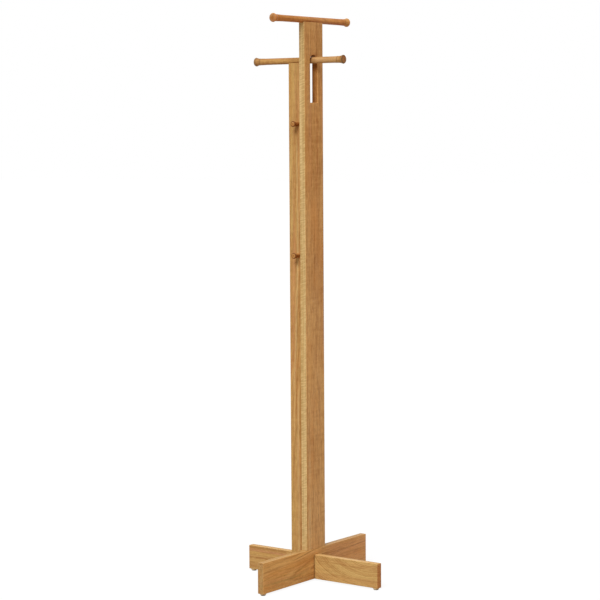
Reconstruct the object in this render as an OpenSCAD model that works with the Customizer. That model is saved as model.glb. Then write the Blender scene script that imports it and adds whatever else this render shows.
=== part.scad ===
// Clothes stand: two upright planks on a halved cross base, with two turned
// hanging bars and two pegs. The origin is on the floor under the crossing of
// the base boards, +Z is up, and the tall plank's front face looks along -Y.

/* [Stock] */
// Thickness of the planks and the base boards
board_t = 20.5; // [18:0.5:26]
// Radius of the eased long edges
edge_r = 1.2; // [0.5:0.1:2.5]

/* [Planks] */
// Length of the tall plank
tall_plank_len = 1575; // [1400:5:1750]
// Width of the tall plank
tall_plank_w = 91; // [80:1:120]
// Width of the short plank
short_plank_w = 65.5; // [60:0.5:90]
// Depth of the round seat that each bar has in its plank's end
saddle_depth = 3; // [1:0.5:5]

/* [Slot] */
// Width of the slot in the tall plank
slot_w = 36; // [30:0.5:40]
// Length of the slot, from its square lower end to its round upper end
slot_len = 140.5; // [100:0.5:220]
// Free height between the lower bar and the top of the slot
slot_head_gap = 6; // [3:0.5:12]
// Radius of the slot's lower corners
slot_corner_r = 3; // [2:0.5:6]
// Radius of the slot's eased edges
slot_edge_r = 2.5; // [1.5:0.5:6]

/* [Bars] */
// Diameter of the bars between the knobs
bar_d = 19; // [16:0.5:22]
// Diameter of the knobs
knob_d = 26; // [24:0.5:28]
// Length of the upper bar over its knobs
upper_bar_len = 373; // [320:1:460]
// Length of the lower bar over its knobs
lower_bar_len = 328.5; // [300:0.5:400]
// Height from the lower bar's axis to the upper bar's axis
bar_drop = 118; // [90:1:200]
// Diameter of the bars where the knobs begin
neck_d = 21; // [17:0.5:23]
// Length over which a bar thickens towards its neck
neck_len = 40; // [30:1:60]
// Length over which the neck flares out to the knob
flare_len = 14; // [10:1:20]
// Radius of the knob's rounded rim
knob_edge_r = 3; // [2:0.5:4]
// Height of the low dome on the knob's end
knob_dome = 0.8; // [0.4:0.1:1.5]
// Distance from the bar's end to the middle of the turned groove
groove_at = 21.5; // [18:0.5:26]
// Width of the turned groove
groove_w = 2.4; // [1.5:0.1:3]
// Depth of the turned groove
groove_depth = 0.7; // [0.4:0.1:1.2]

/* [Pegs] */
// Diameter of the pegs at the plank
peg_d = 14; // [12:0.5:16]
// Diameter of a peg's head
peg_head_d = 18; // [16:0.5:22]
// Length over which a peg flares out to its head
peg_flare_len = 10; // [6:1:12]
// Length of a peg in front of the plank
peg_len = 25.5; // [20:0.5:40]
// Radius of the rounded edge of a peg's head
peg_edge_r = 2; // [1:0.5:4]
// Height of the low dome on a peg's end
peg_dome = 0.8; // [0.4:0.1:1.5]
// Diameter of a peg's tenon
tenon_d = 10; // [8:0.5:11]
// Length of a peg's tenon
tenon_len = 11; // [8:0.5:14]
// Distance from the short plank's top down to the upper peg
upper_peg_drop = 181; // [120:1:260]
// Distance from the upper peg down to the lower peg
peg_pitch = 392; // [250:1:500]

/* [Base] */
// Length of the board under the tall plank
high_board_len = 524; // [440:2:600]
// Height of the board under the tall plank
high_board_h = 92; // [84:0.5:110]
// Length of the board under the short plank
low_board_len = 480; // [420:2:560]
// Height of the board under the short plank
low_board_h = 73.5; // [66:0.5:80]
// Height of the lap in the low board
lap_h = 36.5; // [30:0.5:42]

/* [Feet] */
// Distance from a board's end to the middle of its foot
foot_inset = 11.5; // [10.5:0.5:24]
// Diameter of a foot's cup at the board
foot_d = 19; // [16:0.5:20]
// Diameter of a foot's cup at its lower edge
foot_low_d = 17.5; // [15.5:0.5:18.5]
// Height of a foot's cup
cup_h = 3.6; // [3:0.1:6]
// Depth of the recess in the cup that holds the pad
pad_recess = 1.5; // [1:0.1:2]
// Diameter of a pad
pad_d = 14.5; // [12:0.5:15]
// Height of the pad below the cup
pad_out = 2.4; // [1.5:0.1:4]

/* [Fasteners] */
// Diameter of the wooden dowels
dowel_d = 8; // [6:0.5:10]
// Length of the wooden dowels
dowel_len = 30; // [26:1:36]
// How far a dowel reaches into a bar or into the tall plank's back
dowel_in = 11; // [9:0.5:13]
// Number of dowels between the planks
rib_dowel_count = 6; // [3:1:10]
// Distance from the short plank's foot to its first dowel
rib_dowel_first = 100; // [70:5:200]
// Distance from the slot's lower end down to the last dowel
rib_dowel_last = 33; // [25:1:80]
// Distance from a plank's edge to the axis of a bar dowel
bar_dowel_inset = 18; // [14:0.5:24]
// Thread diameter of the base bolts
bolt_d = 6; // [5:1:8]
// Length of a base bolt under its head
bolt_len = 70; // [66:1:80]
// Head diameter of a base bolt
bolt_head_d = 10; // [9:0.5:12]
// Head height of a base bolt
bolt_head_h = 6; // [4:0.5:7]
// Width across the flats of the bolt's socket
socket_w = 5; // [4:0.5:6]
// Depth of the bolt's socket
socket_depth = 3; // [2:0.5:3.5]
// Height of wood that a bolt clamps below the plank
bolt_grip = 52; // [46:1:56]
// Distance from a plank's edge to a bolt's axis
bolt_inset = 17; // [14:0.5:20]
// Diameter of a washer
washer_d = 13; // [12:0.5:14]
// Thickness of a washer
washer_t = 1.5; // [1:0.1:2]
// Outer diameter of a threaded insert
insert_d = 10; // [9:0.5:12]
// Length of a threaded insert
insert_len = 15; // [10:1:20]
// Diameter of the foot screws
foot_screw_d = 3.5; // [3:0.1:4]
// Length of a foot screw above the cup
foot_screw_len = 16; // [12:1:25]
// Head diameter of a foot screw
foot_screw_head_d = 6.6; // [6:0.1:8]
// Diameter of the lap screw
lap_screw_d = 4.5; // [4:0.1:6]
// Length of the lap screw
lap_screw_len = 60; // [50:1:75]
// Head diameter of the lap screw
lap_screw_head_d = 9; // [8:0.1:10]
// Head height of the lap screw
lap_screw_head_h = 2.6; // [2:0.1:4]

/* [Clearances] */
// Gap round dowels, tenons, bolts and screws
fit_gap = 0.1; // [0.05:0.05:0.3]
// Gap on each side of the lapped boards
lap_gap = 0.1; // [0.05:0.05:0.3]
// Free depth beyond the end of a dowel, tenon, bolt or screw
end_gap = 1; // [0.5:0.5:3]
// Room round a washer in its counterbore
washer_gap = 0.75; // [0.5:0.25:1.5]

/* [Hidden] */

round_fn = 64;
small_fn = 32;
flare_steps = 10;
peg_flare_steps = 6;
neck_steps = 4;
arc_steps = 6;
// How far a cutter runs past the face that it opens
past = 1;

foot_h = pad_out + cup_h;
high_board_top = foot_h + high_board_h;
low_board_top = foot_h + low_board_h;
lap_z = foot_h + lap_h;

tall_plank_top = high_board_top + tall_plank_len;
upper_bar_z = tall_plank_top - saddle_depth + bar_d / 2;
lower_bar_z = upper_bar_z - bar_drop;
short_plank_top = lower_bar_z - bar_d / 2 + saddle_depth;
short_plank_len = short_plank_top - low_board_top;
short_plank_front = board_t / 2;
short_plank_mid = short_plank_front + short_plank_w / 2;

slot_top = lower_bar_z + bar_d / 2 + slot_head_gap;
slot_bottom = slot_top - slot_len;
// Middles of the slot's upper arc and lower corners, from the slot's middle
slot_arc_y = slot_len / 2 - slot_w / 2;
slot_corner_x = slot_w / 2 - slot_corner_r;
slot_corner_y = slot_corner_r - slot_len / 2;
upper_peg_z = short_plank_top - upper_peg_drop;
lower_peg_z = upper_peg_z - peg_pitch;

wood_light = "#d2aa6c";
wood_mid = "#c1935a";
wood_brown = "#ac7a48";
wood_red = "#a06a3c";
dowel_wood = "#dcc08e";
cup_cream = "#e6ddc4";
pad_dark = "#6a5a40";
steel = "#b4b6ba";

left_foot_at = [-high_board_len / 2 + foot_inset, 0];
right_foot_at = [high_board_len / 2 - foot_inset, 0];
front_foot_at = [0, -low_board_len / 2 + foot_inset];
back_foot_at = [0, low_board_len / 2 - foot_inset];
high_board_feet = [left_foot_at, right_foot_at];
low_board_feet = [front_foot_at, back_foot_at];

// Middles of the fastener axes, seen from above
tall_bolts = [for (side = [-1, 1]) [side * (tall_plank_w / 2 - bolt_inset), 0]];
short_bolts = [for (side = [-1, 1]) [0, short_plank_mid + side * (short_plank_w / 2 - bolt_inset)]];
upper_dowels = [for (side = [-1, 1]) [side * (tall_plank_w / 2 - bar_dowel_inset), 0]];
lower_dowels = [
    for (side = [-1, 1]) [0, short_plank_mid + side * (short_plank_w / 2 - bar_dowel_inset)]
];
rib_dowel_low = low_board_top + rib_dowel_first;
rib_dowel_high = slot_bottom - rib_dowel_last;
rib_dowel_step = (rib_dowel_high - rib_dowel_low) / (rib_dowel_count - 1);
rib_dowel_zs = [for (i = [0 : rib_dowel_count - 1]) rib_dowel_low + i * rib_dowel_step];

// Points of a turned end, as [radius, distance from the end], from the end's
// middle over its low dome and round its edge
function turned_end(r, edge, dome) = [
    for (i = [0 : arc_steps])
        let (k = i / arc_steps)
        [(r - edge) * k, dome * k * k],
    for (i = [1 : arc_steps])
        let (a = 90 * i / arc_steps)
        [r - edge + edge * sin(a), dome + edge * (1 - cos(a))]
];

// Radius of a bar at distance s past the knob's widest place
function flare_r(s) =
    bar_d / 2
    + (neck_d - bar_d) / 2 * max(0, 1 - s / neck_len)
    + (knob_d - neck_d) / 2 * pow(max(0, 1 - s / flare_len), 2);

// Radius of a peg at distance s past its head's widest place
function peg_r(s) = peg_d / 2 + (peg_head_d - peg_d) / 2 * pow(max(0, 1 - s / peg_flare_len), 2);

knob_end = turned_end(knob_d / 2, knob_edge_r, knob_dome);
knob_wide_at = knob_dome + knob_edge_r;
groove_from = groove_at - groove_w / 2;
groove_to = groove_at + groove_w / 2;

// Half of a bar's outline, as [radius, distance from the end]
bar_half = concat(
    knob_end,
    [
        for (i = [1 : flare_steps])
            let (s = (groove_from - knob_wide_at) * i / flare_steps)
            [flare_r(s), knob_wide_at + s]
    ],
    [[flare_r(groove_at - knob_wide_at) - groove_depth, groove_at]],
    [
        for (i = [0 : neck_steps])
            let (from = groove_to - knob_wide_at, s = from + (neck_len - from) * i / neck_steps)
            [flare_r(s), knob_wide_at + s]
    ]
);

// Rectangle with rounded corners, its middle at the origin
module eased_rect(w, h) {
    square([w - 2 * edge_r, h], center = true);
    square([w, h - 2 * edge_r], center = true);
    for (x = [-1, 1], y = [-1, 1])
        translate([x * (w / 2 - edge_r), y * (h / 2 - edge_r)])
            circle(r = edge_r, $fn = small_fn);
}

// Bar along Z with its middle at the origin
module turned_bar(len) {
    low = [for (p = bar_half) [p[0], p[1] - len / 2]];
    high = [for (i = [len(bar_half) - 1 : -1 : 0]) [bar_half[i][0], len / 2 - bar_half[i][1]]];
    rotate_extrude($fn = round_fn) polygon(concat(low, high));
}

// Peg along -X from the plank's face at the origin, with its tenon along +X
module turned_peg() {
    end = turned_end(peg_head_d / 2, peg_edge_r, peg_dome);
    flare = [
        for (i = [1 : peg_flare_steps])
            let (s = peg_flare_len * i / peg_flare_steps)
            [peg_r(s), peg_dome + peg_edge_r + s]
    ];
    rotate([0, -90, 0])
        rotate_extrude($fn = round_fn)
            polygon(concat(
                [for (p = concat(end, flare)) [p[0], peg_len - p[1]]],
                [[peg_d / 2, 0], [tenon_d / 2, 0], [tenon_d / 2, -tenon_len], [0, -tenon_len]]
            ));
}

// Round hole or rod along +Z
module rod(d, h, fn = small_fn) {
    cylinder(d = d, h = h, $fn = fn);
}

// Countersunk screw along +Z, its head's flat side at the origin
module countersunk_screw(d, head_d, head_h, len) {
    cylinder(d1 = head_d, d2 = d, h = head_h, $fn = small_fn);
    rod(d, len);
}

// Places its children at each [x, y] of a list, at height z
module at_each(places, z) {
    for (p = places) translate([p[0], p[1], z]) children();
}

// Outline of the slot, round above and square below, its middle at the origin
module slot_outline() {
    translate([0, slot_arc_y]) circle(d = slot_w, $fn = round_fn);
    translate([-slot_w / 2, slot_corner_y]) square([slot_w, slot_arc_y - slot_corner_y]);
    translate([-slot_corner_x, -slot_len / 2]) square([2 * slot_corner_x, slot_len / 2 + slot_arc_y]);
    for (side = [-1, 1])
        translate([side * slot_corner_x, slot_corner_y]) circle(r = slot_corner_r, $fn = small_fn);
}

// Ring that eases a round part of the slot's edge
module slot_edge_ring(r, fn) {
    rotate_extrude($fn = fn) translate([r, 0]) edge_profile();
}

// What eases the slot's edge on the face at z = 0 of a plank that lies below it
module slot_edge_cutter() {
    translate([0, slot_arc_y, 0]) slot_edge_ring(slot_w / 2, round_fn);
    for (side = [-1, 1])
        translate([side * slot_corner_x, slot_corner_y, 0]) slot_edge_ring(slot_corner_r, small_fn);
    for (side = [0, 1])
        mirror([side, 0, 0])
            translate([slot_w / 2, slot_arc_y, 0])
                rotate([90, 0, 0])
                    linear_extrude(slot_arc_y - slot_corner_y)
                        edge_profile();
    translate([slot_corner_x, -slot_len / 2, 0])
        rotate([90, 0, -90])
            linear_extrude(2 * slot_corner_x)
                edge_profile();
}

// Section of the wood taken off the slot's edge, its corner at the origin
module edge_profile() {
    difference() {
        translate([-past, -slot_edge_r]) square([slot_edge_r + past, slot_edge_r + past]);
        translate([slot_edge_r, -slot_edge_r]) circle(r = slot_edge_r, $fn = small_fn);
        translate([slot_edge_r, -slot_edge_r]) square([past, past + 2 * slot_edge_r]);
    }
}

// The slot through a plank of board_t, middle at the origin, open along Z
module slot_cutter() {
    translate([0, 0, -board_t / 2 - past]) linear_extrude(board_t + 2 * past) slot_outline();
    for (side = [0, 1])
        mirror([0, 0, side])
            translate([0, 0, board_t / 2])
                slot_edge_cutter();
}

// Holes in a plank's lower end for a bolt and its insert
module insert_holes(places, z) {
    at_each(places, z - past) rod(insert_d + 2 * fit_gap, insert_len + past);
    at_each(places, z) rod(bolt_d + 2 * fit_gap, bolt_len - washer_t - bolt_grip + end_gap);
}

// Holes in a plank's upper end for the bar dowels
module dowel_holes_down(places, bar_z) {
    depth = dowel_len - dowel_in + bar_d / 2 + end_gap;
    at_each(places, bar_z - depth) rod(dowel_d + 2 * fit_gap, depth);
}

// Height of a bar dowel's lower end
function dowel_low_z(bar_z) = bar_z - bar_d / 2 + dowel_in - dowel_len;

// Holes in a bar's underside for its dowels
module bar_dowel_holes(places, bar_z) {
    at_each(places, bar_z - bar_d) rod(dowel_d + 2 * fit_gap, bar_d / 2 + dowel_in + end_gap);
}

// Round seat for a bar in a plank's end, along X
module saddle_cutter(length) {
    rotate([0, 90, 0])
        translate([0, 0, -length / 2])
            rod(bar_d + 2 * fit_gap, length, round_fn);
}

// Counterbored bolt holes through a base board
module bolt_holes(places, top) {
    seat = top - bolt_grip;
    at_each(places, foot_h - past) rod(washer_d + 2 * washer_gap, seat - foot_h + past);
    at_each(places, seat - past) rod(bolt_d + 2 * fit_gap, bolt_grip + 2 * past);
}

// Pilot holes for the foot screws
module foot_screw_holes(places) {
    at_each(places, foot_h - past) rod(foot_screw_d + 2 * fit_gap, foot_screw_len + past + end_gap);
}

module tall_plank() {
    color(wood_brown)
        difference() {
            translate([0, 0, high_board_top]) linear_extrude(tall_plank_len) eased_rect(tall_plank_w, board_t);
            translate([0, 0, (slot_top + slot_bottom) / 2]) rotate([90, 0, 0]) slot_cutter();
            translate([0, 0, upper_bar_z]) saddle_cutter(tall_plank_w + 2 * past);
            dowel_holes_down(upper_dowels, upper_bar_z);
            insert_holes(tall_bolts, high_board_top);
            for (z = rib_dowel_zs)
                translate([0, board_t / 2 - dowel_in - end_gap, z])
                    rotate([-90, 0, 0])
                        rod(dowel_d + 2 * fit_gap, dowel_in + end_gap + past);
        }
}

module short_plank() {
    color(wood_mid)
        difference() {
            translate([0, short_plank_mid, low_board_top])
                linear_extrude(short_plank_len)
                    eased_rect(board_t, short_plank_w);
            translate([0, short_plank_mid, lower_bar_z])
                rotate([0, 0, 90])
                    saddle_cutter(short_plank_w + 2 * past);
            dowel_holes_down(lower_dowels, lower_bar_z);
            insert_holes(short_bolts, low_board_top);
            for (z = rib_dowel_zs)
                translate([0, short_plank_front - past, z])
                    rotate([-90, 0, 0])
                        rod(dowel_d + 2 * fit_gap, dowel_len - dowel_in + end_gap + past);
            for (z = [upper_peg_z, lower_peg_z])
                translate([-board_t / 2 - past, short_plank_mid, z])
                    rotate([0, 90, 0])
                        rod(tenon_d + 2 * fit_gap, tenon_len + end_gap + past);
        }
}

module upper_bar() {
    color(wood_red)
        difference() {
            translate([0, 0, upper_bar_z]) rotate([0, 90, 0]) turned_bar(upper_bar_len);
            bar_dowel_holes(upper_dowels, upper_bar_z);
        }
}

module lower_bar() {
    color(wood_mid)
        difference() {
            translate([0, short_plank_mid, lower_bar_z]) rotate([90, 0, 0]) turned_bar(lower_bar_len);
            bar_dowel_holes(lower_dowels, lower_bar_z);
        }
}

module upper_peg() {
    color(wood_mid) translate([-board_t / 2, short_plank_mid, upper_peg_z]) turned_peg();
}

module lower_peg() {
    color(wood_mid) translate([-board_t / 2, short_plank_mid, lower_peg_z]) turned_peg();
}

module high_base_board() {
    lap = board_t + 2 * lap_gap;
    color(wood_brown)
        difference() {
            translate([-high_board_len / 2, 0, foot_h + high_board_h / 2])
                rotate([90, 0, 90])
                    linear_extrude(high_board_len)
                        eased_rect(board_t, high_board_h);
            translate([-lap / 2, -board_t, foot_h - past]) cube([lap, 2 * board_t, lap_h + past]);
            bolt_holes(tall_bolts, high_board_top);
            foot_screw_holes(high_board_feet);
            translate([0, 0, foot_h]) rod(lap_screw_d + 2 * fit_gap, lap_screw_len + end_gap);
        }
}

module low_base_board() {
    lap = board_t + 2 * lap_gap;
    color(wood_light)
        difference() {
            translate([0, low_board_len / 2, foot_h + low_board_h / 2])
                rotate([90, 0, 0])
                    linear_extrude(low_board_len)
                        eased_rect(board_t, low_board_h);
            translate([-board_t, -lap / 2, lap_z]) cube([2 * board_t, lap, low_board_h]);
            bolt_holes(short_bolts, low_board_top);
            foot_screw_holes(low_board_feet);
            translate([0, 0, foot_h - past]) rod(lap_screw_head_d + 2 * fit_gap, past);
            translate([0, 0, foot_h])
                countersunk_screw(
                    lap_screw_d + 2 * fit_gap,
                    lap_screw_head_d + 2 * fit_gap,
                    lap_screw_head_h,
                    low_board_h
                );
        }
}

module foot_cup(place) {
    web_z = pad_out + pad_recess;
    color(cup_cream)
        translate([place[0], place[1], 0])
            difference() {
                translate([0, 0, pad_out]) cylinder(d1 = foot_low_d, d2 = foot_d, h = cup_h, $fn = round_fn);
                translate([0, 0, pad_out - past]) rod(pad_d + 2 * fit_gap, pad_recess + past, round_fn);
                translate([0, 0, web_z])
                    countersunk_screw(
                        foot_screw_d + 2 * fit_gap,
                        foot_screw_head_d + 2 * fit_gap,
                        cup_h - pad_recess,
                        cup_h
                    );
            }
}

module foot_pad(place) {
    color(pad_dark) translate([place[0], place[1], 0]) rod(pad_d, pad_out + pad_recess, round_fn);
}

module left_foot() { foot_cup(left_foot_at); }
module right_foot() { foot_cup(right_foot_at); }
module front_foot() { foot_cup(front_foot_at); }
module back_foot() { foot_cup(back_foot_at); }
module left_foot_pad() { foot_pad(left_foot_at); }
module right_foot_pad() { foot_pad(right_foot_at); }
module front_foot_pad() { foot_pad(front_foot_at); }
module back_foot_pad() { foot_pad(back_foot_at); }

module foot_screws() {
    color(steel)
        at_each(concat(high_board_feet, low_board_feet), pad_out + pad_recess)
            countersunk_screw(
                foot_screw_d,
                foot_screw_head_d,
                cup_h - pad_recess,
                cup_h - pad_recess + foot_screw_len
            );
}

module upper_bar_dowels() {
    color(dowel_wood) at_each(upper_dowels, dowel_low_z(upper_bar_z)) rod(dowel_d, dowel_len);
}

module lower_bar_dowels() {
    color(dowel_wood) at_each(lower_dowels, dowel_low_z(lower_bar_z)) rod(dowel_d, dowel_len);
}

module rib_dowels() {
    color(dowel_wood)
        for (z = rib_dowel_zs)
            translate([0, board_t / 2 - dowel_in, z]) rotate([-90, 0, 0]) rod(dowel_d, dowel_len);
}

// One base bolt, its head's upper face at the origin
module base_bolt() {
    difference() {
        translate([0, 0, -bolt_head_h]) rod(bolt_head_d, bolt_head_h);
        translate([0, 0, -bolt_head_h - past])
            cylinder(d = socket_w / cos(30), h = socket_depth + past, $fn = 6);
    }
    rod(bolt_d, bolt_len);
}

module base_bolts() {
    color(steel) {
        at_each(tall_bolts, high_board_top - bolt_grip - washer_t) base_bolt();
        at_each(short_bolts, low_board_top - bolt_grip - washer_t) base_bolt();
    }
}

// One washer, its upper face at the origin
module washer() {
    translate([0, 0, -washer_t])
        difference() {
            rod(washer_d, washer_t);
            translate([0, 0, -past]) rod(bolt_d + 2 * fit_gap, washer_t + 2 * past);
        }
}

module base_washers() {
    color(steel) {
        at_each(tall_bolts, high_board_top - bolt_grip) washer();
        at_each(short_bolts, low_board_top - bolt_grip) washer();
    }
}

// One threaded insert, its lower face at the origin
module threaded_insert() {
    difference() {
        rod(insert_d, insert_len);
        translate([0, 0, -past]) rod(bolt_d + 2 * fit_gap, insert_len + 2 * past);
    }
}

module base_inserts() {
    color(steel) {
        at_each(tall_bolts, high_board_top) threaded_insert();
        at_each(short_bolts, low_board_top) threaded_insert();
    }
}

module lap_screw() {
    color(steel)
        translate([0, 0, foot_h])
            countersunk_screw(lap_screw_d, lap_screw_head_d, lap_screw_head_h, lap_screw_len);
}

tall_plank();
short_plank();
upper_bar();
lower_bar();
upper_peg();
lower_peg();
high_base_board();
low_base_board();
left_foot();
right_foot();
front_foot();
back_foot();
left_foot_pad();
right_foot_pad();
front_foot_pad();
back_foot_pad();
foot_screws();
upper_bar_dowels();
lower_bar_dowels();
rib_dowels();
base_bolts();
base_washers();
base_inserts();
lap_screw();
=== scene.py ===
import math
from collections import namedtuple

import bmesh
import bpy
from mathutils import Matrix, Vector


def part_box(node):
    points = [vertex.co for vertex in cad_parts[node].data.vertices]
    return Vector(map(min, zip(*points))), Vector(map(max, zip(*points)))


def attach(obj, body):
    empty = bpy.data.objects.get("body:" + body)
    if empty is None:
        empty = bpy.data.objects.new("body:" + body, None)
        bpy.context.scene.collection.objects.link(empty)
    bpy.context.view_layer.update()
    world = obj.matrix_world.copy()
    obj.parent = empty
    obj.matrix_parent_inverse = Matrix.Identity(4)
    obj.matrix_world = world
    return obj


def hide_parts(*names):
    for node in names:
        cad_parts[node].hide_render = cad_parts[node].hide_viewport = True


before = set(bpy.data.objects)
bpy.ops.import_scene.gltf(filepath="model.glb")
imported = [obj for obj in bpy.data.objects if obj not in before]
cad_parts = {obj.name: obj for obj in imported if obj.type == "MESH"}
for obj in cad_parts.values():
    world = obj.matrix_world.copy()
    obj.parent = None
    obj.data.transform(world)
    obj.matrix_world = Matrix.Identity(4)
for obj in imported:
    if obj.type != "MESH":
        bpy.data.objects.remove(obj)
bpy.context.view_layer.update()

MM = 0.001

# Sizes
TALL_LOW, TALL_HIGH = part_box("tall_plank")
SHORT_LOW, SHORT_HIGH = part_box("short_plank")
HIGH_LOW, HIGH_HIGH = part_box("high_base_board")
LOW_LOW, LOW_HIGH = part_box("low_base_board")
UPPER_LOW, UPPER_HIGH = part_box("upper_bar")
LOWER_LOW, LOWER_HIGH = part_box("lower_bar")

BOARD_T = TALL_HIGH[1] - TALL_LOW[1]
EDGE_R = 1.2 * MM
END_R = 0.8 * MM
SHARP_ANGLE = math.radians(40)

# Play round a fitted piece, how far a cutter reaches past the face it cuts, and the
# distance at which the points of a cut piece are merged
FIT = 0.1 * MM
PAST = 2 * MM
WELD = 0.01 * MM

TALL_W = TALL_HIGH[0] - TALL_LOW[0]
SHORT_W = SHORT_HIGH[1] - SHORT_LOW[1]
SHORT_MID_Y = (SHORT_LOW[1] + SHORT_HIGH[1]) / 2
BASE_Z = HIGH_LOW[2]

SLOT_W = 36 * MM
SLOT_LOW_Z = 1436.5 * MM
SLOT_HIGH_Z = 1577 * MM
SLOT_CORNER_R = 3 * MM
SLOT_EDGE_R = 2.5 * MM
SLOT_CUTTER_FLARE = 0.6 * MM

UPPER_LEN = UPPER_HIGH[0] - UPPER_LOW[0]
LOWER_LEN = LOWER_HIGH[1] - LOWER_LOW[1]
BAR_R = 9.5 * MM
KNOB_R = 13 * MM
NECK_R = 10.5 * MM
NECK_LEN = 40 * MM
FLARE_LEN = 14 * MM
KNOB_EDGE = 3 * MM
KNOB_DOME = 0.8 * MM
GROOVE_AT = 21.5 * MM
GROOVE_HALF = 1.2 * MM
GROOVE_DEPTH = 0.7 * MM
UPPER_BAR_Z = (UPPER_LOW[2] + UPPER_HIGH[2]) / 2
LOWER_BAR_Z = (LOWER_LOW[2] + LOWER_HIGH[2]) / 2
SEAT_REACH = 100 * MM

PEG_R = 7 * MM
PEG_HEAD_R = 9 * MM
PEG_FLARE = 10 * MM
PEG_OUT = 25.5 * MM
PEG_EDGE = 2 * MM
PEG_DOME = 0.8 * MM
TENON_R = 5 * MM
TENON_LEN = 11 * MM
TENON_CHAMFER = 0.8 * MM

LAP_HALF = BOARD_T / 2 + FIT
LAP_Z = 42.5 * MM
LAP_REACH = 50 * MM
LAP_TOP = 200 * MM

DOWEL_R = 4 * MM
DOWEL_LEN = 30 * MM
DOWEL_IN = 11 * MM
DOWEL_CHAMFER = 0.8 * MM
FLUTE_DEPTH = 0.25 * MM
FLUTES = 16
END_GAP = 1 * MM
BAR_DOWEL_INSET = 18 * MM
RIB_COUNT = 6
RIB_ABOVE_BASE = 100 * MM
RIB_BELOW_SLOT = 33 * MM

BOLT_R = 3 * MM
BOLT_LEN = 70 * MM
BOLT_INSET = 17 * MM
BOLT_GRIP = 52 * MM
BOLT_HEAD_R = 5 * MM
BOLT_HEAD_H = 6 * MM
BOLT_HEAD_CHAMFER = 0.6 * MM
BOLT_TIP_CHAMFER = 0.8 * MM
BOLT_THREAD_LEN = 24 * MM
BOLT_THREAD_DEPTH = 0.35 * MM
BOLT_PITCH = 1 * MM
SOCKET_W = 5 * MM
SOCKET_DEPTH = 3 * MM
SOCKET_CONE = 0.6 * MM
WASHER_R = 6.5 * MM
WASHER_T = 1.5 * MM
WASHER_EDGE = 0.3 * MM
WASHER_ROOM = 0.75 * MM
INSERT_R = 5 * MM
INSERT_LEN = 15 * MM
INSERT_RIDGE = 0.7 * MM
INSERT_PITCH = 2.2 * MM
INSERT_PLAIN = 0.6 * MM

CUP_R = 9.5 * MM
CUP_LOW_R = 8.75 * MM
CUP_LIP = 0.7 * MM
CUP_SEAM_AT = 2 * MM
CUP_SEAM = ((-0.25, 0), (-0.1, 0.15), (0.1, 0.15), (0.25, 0))
CUP_CHAMFER = 0.3 * MM
CUP_TOP_EDGE = 0.25 * MM
CUP_TOP_IN = 0.4 * MM
PAD_R = 7.25 * MM
PAD_OUT = 2.4 * MM
PAD_TOP = 3.9 * MM
PAD_EDGE = 0.8 * MM
PAD_CHAMFER = 0.3 * MM
PAD_HOLLOW = 0.15 * MM
FOOT_INSET = 11.5 * MM
FOOT_SCREW_R = 1.75 * MM
FOOT_SCREW_HEAD_R = 3.3 * MM
FOOT_SCREW_TOP = 22 * MM
LAP_SCREW_R = 2.25 * MM
LAP_SCREW_HEAD_R = 4.5 * MM
LAP_SCREW_HEAD_H = 2.6 * MM
LAP_SCREW_LEN = 60 * MM

# Wood screws: the head's edge and the blunt tip, then shares of the length (plain),
# of the radius (neck to tip) and of the head (cross)
SCREW_EDGE_IN, SCREW_EDGE_UP = 0.15 * MM, 0.2 * MM
SCREW_BLUNT = 0.1 * MM
SCREW_PLAIN = 0.3
SCREW_NECK, SCREW_CORE, SCREW_PITCH, SCREW_POINT, SCREW_TIP = 0.8, 0.75, 0.8, 2.5, 0.1
CROSS_ARM, CROSS_WIDE, CROSS_DEEP = 0.5, 0.12, 0.75

ALONG_X = Matrix.Rotation(math.radians(90), 4, "Y")
ALONG_MINUS_X = Matrix.Rotation(math.radians(-90), 4, "Y")
ALONG_Y = Matrix.Rotation(math.radians(-90), 4, "X")


def at(x, y, z, turn=Matrix.Identity(4)):
    return Matrix.Translation((x, y, z)) @ turn


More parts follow.
